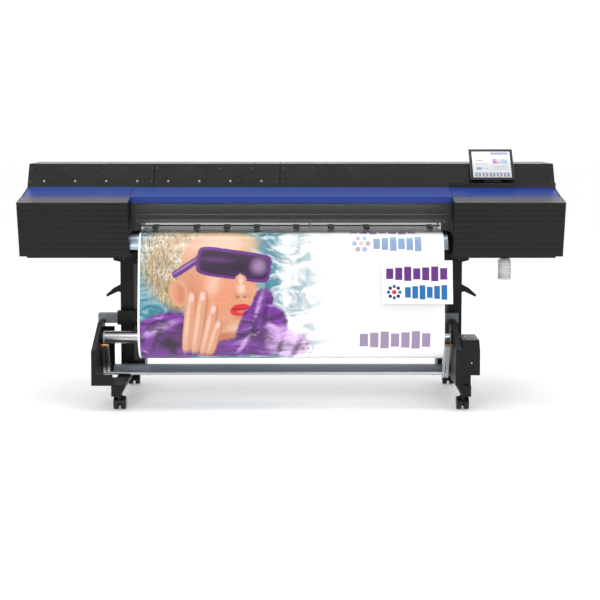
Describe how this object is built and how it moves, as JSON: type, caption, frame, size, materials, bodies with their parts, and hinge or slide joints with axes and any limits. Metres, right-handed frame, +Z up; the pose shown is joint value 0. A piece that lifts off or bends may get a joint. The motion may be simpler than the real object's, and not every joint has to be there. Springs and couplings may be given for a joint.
{
  "type": "printer cutter",
  "caption": "Wide-format roll printer cutter on a castered stand with hinged front cover, take-up unit, tablet and printed media.",
  "frame": {"origin": "on the floor, under the middle of the machine's bounding box", "axes": "+Z up, +X to the right seen from the front, -Y towards the operator at the front"},
  "size_m": [2.891, 0.748, 1.3814],
  "materials": {
    "black_cover": "fine-grained moulded black, satin",
    "blue_trim": "deep blue, semi-gloss",
    "clear_window": "clear, faint blue",
    "black_steel": "black powder coat",
    "grey_steel": "grey enamel, satin",
    "aluminium": "brushed, satin anodised",
    "bright_steel": "ground steel",
    "rubber": "matt rubber",
    "bronze": "sintered bronze, satin",
    "black_plastic": "moulded black",
    "apron_sheet": "blue-grey enamel, satin",
    "tube_sleeve": "smooth white sleeve",
    "tablet_body": "glossy black with lit screen",
    "clear_bottle": "translucent, milky",
    "light_guide": "frosted white",
    "grey_switch": "light grey",
    "lever_blue": "blue",
    "vinyl": "printed white vinyl, semi-gloss",
    "roll_vinyl": "white roll stock"
  },
  "bodies": {
    "machine": {"leg_left": "black_steel", "leg_right": "black_steel", "foot_left": "black_steel", "foot_right": "black_steel", "stretcher_beam": "grey_steel", "wing_hooks": "grey_steel", "fasteners": "black_steel", "take_up_rail": "grey_steel", "take_up_frames": "black_steel", "take_up_motor": "bright_steel", "drive_case": "black_steel", "base_frame": "grey_steel", "guide_beam": "aluminium", "hood_left": "black_cover", "hood_center": "black_cover", "hood_right": "black_cover", "cover_left": "black_cover", "cover_right": "black_cover", "top_trims": "blue_trim", "rear_panel": "black_steel", "platen": "black_steel", "apron": "apron_sheet", "drive_belt": "rubber", "status_leds": "light_guide", "tablet_holder": "black_plastic", "roll_holders": "grey_steel", "power_inlet": "black_plastic", "media_web": "vinyl"},
    "take_up_roll": {"take_up_tube": "tube_sleeve", "drive_gear": "black_plastic"},
    "take_up_pinion": {"motor_pinion": "bronze"},
    "slider": {"rail_slider": "black_plastic"},
    "direction_rocker": {"direction_switch": "grey_switch"},
    "mode_rocker": {"mode_switch": "grey_switch"},
    "arms": {"swing_arms": "aluminium", "arm_bearings": "bronze"},
    "cover": {"front_cover": "blue_trim", "cover_window": "clear_window"},
    "grit": {"grit_roller": "bright_steel"},
    "pinch_frame": {"pinch_arms": "black_plastic"},
    "pinch_rollers": {"pinch_wheels": "rubber"},
    "lever": {"loading_lever": "lever_blue"},
    "carriage": {"print_carriage": "black_plastic"},
    "blade": {"blade_holder": "bright_steel"},
    "belt_motor_pulley": {"motor_pulley": "aluminium"},
    "belt_idler_pulley": {"idler_pulley": "aluminium"},
    "cap": {"cap_station": "black_plastic"},
    "tablet_body": {"tablet": "tablet_body"},
    "bottle": {"drain_bottle": "clear_bottle"},
    "trays": {"ink_trays": "black_plastic"},
    "supply": {"supply_roll": "roll_vinyl"},
    "mains_rocker": {"power_rocker": "black_plastic"},
    "swivel_fl": {"caster_fork_fl": "black_plastic"},
    "wheels_fl": {"caster_wheels_fl": "rubber"},
    "swivel_fr": {"caster_fork_fr": "black_plastic"},
    "wheels_fr": {"caster_wheels_fr": "rubber"},
    "swivel_rl": {"caster_fork_rl": "black_plastic"},
    "wheels_rl": {"caster_wheels_rl": "rubber"},
    "swivel_rr": {"caster_fork_rr": "black_plastic"},
    "wheels_rr": {"caster_wheels_rr": "rubber"}
  },
  "joints": [
    {"name": "caster_swivel_fl", "type": "hinge", "parent": "machine", "child": "swivel_fl", "pos_m": [-0.9175, -0.329, 0.07], "axis": [0, 0, 1], "continuous": true},
    {"name": "caster_roll_fl", "type": "hinge", "parent": "swivel_fl", "child": "wheels_fl", "pos_m": [-0.9175, -0.309, 0.032], "axis": [1, 0, 0], "continuous": true},
    {"name": "caster_swivel_fr", "type": "hinge", "parent": "machine", "child": "swivel_fr", "pos_m": [0.9175, -0.329, 0.07], "axis": [0, 0, 1], "continuous": true},
    {"name": "caster_roll_fr", "type": "hinge", "parent": "swivel_fr", "child": "wheels_fr", "pos_m": [0.9175, -0.309, 0.032], "axis": [1, 0, 0], "continuous": true},
    {"name": "caster_swivel_rl", "type": "hinge", "parent": "machine", "child": "swivel_rl", "pos_m": [-0.9175, 0.329, 0.07], "axis": [0, 0, 1], "continuous": true},
    {"name": "caster_roll_rl", "type": "hinge", "parent": "swivel_rl", "child": "wheels_rl", "pos_m": [-0.9175, 0.309, 0.032], "axis": [1, 0, 0], "continuous": true},
    {"name": "caster_swivel_rr", "type": "hinge", "parent": "machine", "child": "swivel_rr", "pos_m": [0.9175, 0.329, 0.07], "axis": [0, 0, 1], "continuous": true},
    {"name": "caster_roll_rr", "type": "hinge", "parent": "swivel_rr", "child": "wheels_rr", "pos_m": [0.9175, 0.309, 0.032], "axis": [1, 0, 0], "continuous": true},
    {"name": "take_up_turn", "type": "hinge", "parent": "machine", "child": "take_up_roll", "pos_m": [0, -0.194, 0.368], "axis": [1, 0, 0], "continuous": true},
    {"name": "pinion_turn", "type": "hinge", "parent": "machine", "child": "take_up_pinion", "pos_m": [0.889, -0.194, 0.3288], "axis": [1, 0, 0], "continuous": true},
    {"name": "slider_shift", "type": "slide", "parent": "machine", "child": "slider", "axis": [1, 0, 0], "range_m": [0, 0.3]},
    {"name": "direction_switch_tip", "type": "hinge", "parent": "machine", "child": "direction_rocker", "pos_m": [0.936, -0.264, 0.376], "axis": [1, 0, 0], "range_deg": [-10, 10]},
    {"name": "mode_switch_tip", "type": "hinge", "parent": "machine", "child": "mode_rocker", "pos_m": [0.97, -0.264, 0.376], "axis": [1, 0, 0], "range_deg": [-10, 10]},
    {"name": "arms_swing", "type": "hinge", "parent": "machine", "child": "arms", "pos_m": [0, -0.129, 0.156], "axis": [1, 0, 0], "range_deg": [0, 45]},
    {"name": "front_cover_open", "type": "hinge", "parent": "machine", "child": "cover", "pos_m": [0, -0.094, 1.17373], "axis": [-1, 0, 0], "range_deg": [0, 70]},
    {"name": "grit_roller_turn", "type": "hinge", "parent": "machine", "child": "grit", "pos_m": [0, -0.074, 0.9282], "axis": [1, 0, 0], "continuous": true},
    {"name": "loading_lever_lift", "type": "hinge", "parent": "machine", "child": "lever", "pos_m": [-0.838, -0.002, 0.958], "axis": [-1, 0, 0], "range_deg": [0, 25]},
    {"name": "pinch_arms_lift", "type": "hinge", "parent": "machine", "child": "pinch_frame", "pos_m": [0, -0.002, 0.958], "axis": [-1, 0, 0], "range_deg": [0, 8]},
    {"name": "pinch_wheels_turn", "type": "hinge", "parent": "pinch_frame", "child": "pinch_rollers", "pos_m": [0, -0.074, 0.9506], "axis": [1, 0, 0], "continuous": true},
    {"name": "carriage_travel", "type": "slide", "parent": "machine", "child": "carriage", "axis": [-1, 0, 0], "range_m": [0, 1.99]},
    {"name": "blade_drop", "type": "slide", "parent": "carriage", "child": "blade", "axis": [0, 0, -1], "range_m": [0, 0.003], "stiffness_N_per_m": 400, "springref_m": -0.01},
    {"name": "motor_pulley_turn", "type": "hinge", "parent": "machine", "child": "belt_motor_pulley", "pos_m": [1.34, 0.018, 1.096], "axis": [0, 0, 1], "continuous": true},
    {"name": "idler_pulley_turn", "type": "hinge", "parent": "machine", "child": "belt_idler_pulley", "pos_m": [-1.34, 0.018, 1.096], "axis": [0, 0, 1], "continuous": true},
    {"name": "cap_lift", "type": "slide", "parent": "machine", "child": "cap", "axis": [0, 0, -1], "range_m": [0, 0.012]},
    {"name": "tablet_tilt", "type": "hinge", "parent": "machine", "child": "tablet_body", "pos_m": [1.1, -0.093, 1.21], "axis": [1, 0, 0], "range_deg": [0, 25]},
    {"name": "bottle_drop", "type": "slide", "parent": "machine", "child": "bottle", "axis": [0, 0, -1], "range_m": [0, 0.13]},
    {"name": "ink_trays_out", "type": "slide", "parent": "machine", "child": "trays", "axis": [0, 1, 0], "range_m": [0, 0.2]},
    {"name": "supply_turn", "type": "hinge", "parent": "machine", "child": "supply", "pos_m": [0, 0.246, 0.64], "axis": [1, 0, 0], "continuous": true},
    {"name": "mains_switch_tip", "type": "hinge", "parent": "machine", "child": "mains_rocker", "pos_m": [-1.05, 0.25, 0.912], "axis": [1, 0, 0], "range_deg": [-8, 8]}
  ],
  "couplings": [
    {"joint": "pinion_turn", "follows": "take_up_turn", "ratio": -2},
    {"joint": "pinch_arms_lift", "follows": "loading_lever_lift", "ratio": 0.3},
    {"joint": "pinch_wheels_turn", "follows": "grit_roller_turn", "ratio": -1.2778},
    {"joint": "motor_pulley_turn", "follows": "carriage_travel", "rad_per_m": -69.93},
    {"joint": "idler_pulley_turn", "follows": "carriage_travel", "rad_per_m": -69.93}
  ]
}
